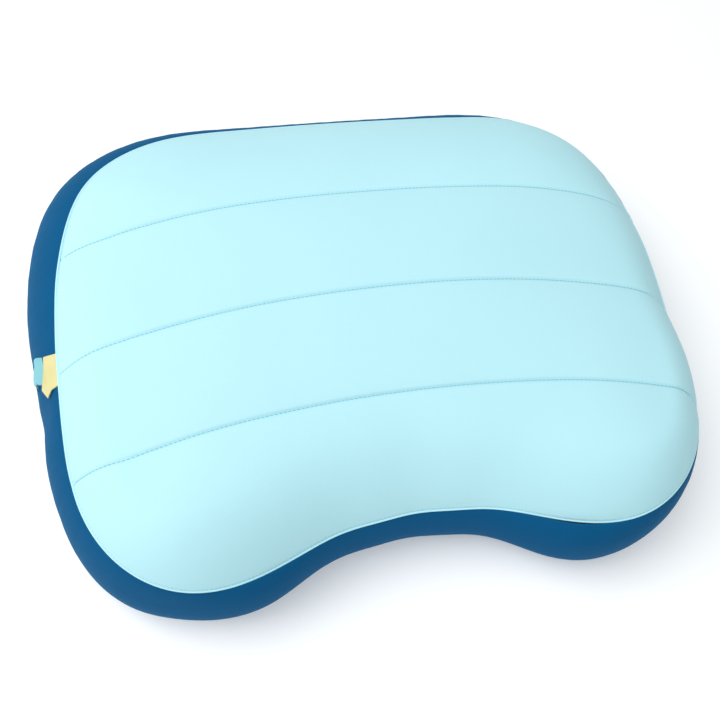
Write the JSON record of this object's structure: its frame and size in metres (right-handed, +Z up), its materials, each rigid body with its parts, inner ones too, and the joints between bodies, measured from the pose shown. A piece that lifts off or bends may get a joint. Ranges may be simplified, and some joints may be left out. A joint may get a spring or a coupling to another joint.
{
  "type": "camp pillow",
  "caption": "Inflatable quilted camp pillow with a curved neck cut-out, soft two-tone knit cover, side valve with hinged caps and a fabric pull tab.",
  "frame": {"origin": "centre of the underside, on the plane the pillow rests on", "axes": "+X along the long side, +Y away from the neck cut-out, +Z up; the valve is at -X"},
  "size_m": [0.4198, 0.3357, 0.1045],
  "materials": {
    "knit_light": "brushed stretch knit, very fine, matt with a soft bloom",
    "knit_navy": "brushed stretch knit, navy blue, soft sheen at grazing angles",
    "tape": "woven reinforcing tape",
    "fill": "lofted synthetic fibre fill",
    "film": "thin elastomer film, slightly milky",
    "valve_grey": "satin moulded elastomer",
    "silicone": "soft translucent silicone",
    "valve_teal": "satin moulded elastomer, teal",
    "ribbon_yellow": "woven grosgrain ribbon, pale yellow"
  },
  "bodies": {
    "pillow": {"top_cover": "knit_light", "bottom_cover": "knit_navy", "edge_binding": "knit_light", "edge_seam_tape": "tape", "fill_pad_1": "fill", "fill_pad_2": "fill", "fill_pad_3": "fill", "fill_pad_4": "fill", "quilt_seam_1": "knit_light", "quilt_seam_2": "knit_light", "quilt_seam_3": "knit_light", "bladder_top_film": "film", "bladder_bottom_film": "film", "baffle_web_1": "film", "baffle_web_2": "film", "baffle_web_3": "film", "valve_reinforcement": "tape", "valve_weld_flange": "film", "valve_housing": "valve_grey"},
    "deflate_plug": {"deflate_plug": "valve_grey"},
    "check_flap": {"check_flap": "silicone"},
    "inflate_cap": {"inflate_cap": "valve_teal"},
    "pull_tab": {"pull_tab": "ribbon_yellow"}
  },
  "joints": [
    {"name": "deflate_plug_hinge", "type": "hinge", "parent": "pillow", "child": "deflate_plug", "pos_m": [-0.20578, -0.0171, 0.04599], "axis": [0, -1, 0], "range_deg": [0, 85]},
    {"name": "inflate_cap_hinge", "type": "hinge", "parent": "deflate_plug", "child": "inflate_cap", "pos_m": [-0.20578, -0.0171, 0.04599], "axis": [0, -1, 0], "range_deg": [0, 95]},
    {"name": "check_flap_hinge", "type": "hinge", "parent": "deflate_plug", "child": "check_flap", "pos_m": [-0.19737, -0.0171, 0.04687], "axis": [0, 1, 0], "range_deg": [0, 35], "stiffness_Nm_per_rad": 0.00005},
    {"name": "pull_tab_flex", "type": "hinge", "parent": "pillow", "child": "pull_tab", "pos_m": [-0.192, -0.0294, 0.0756], "axis": [0, 1, 0], "range_deg": [0, 100], "stiffness_Nm_per_rad": 0.0001}
  ]
}
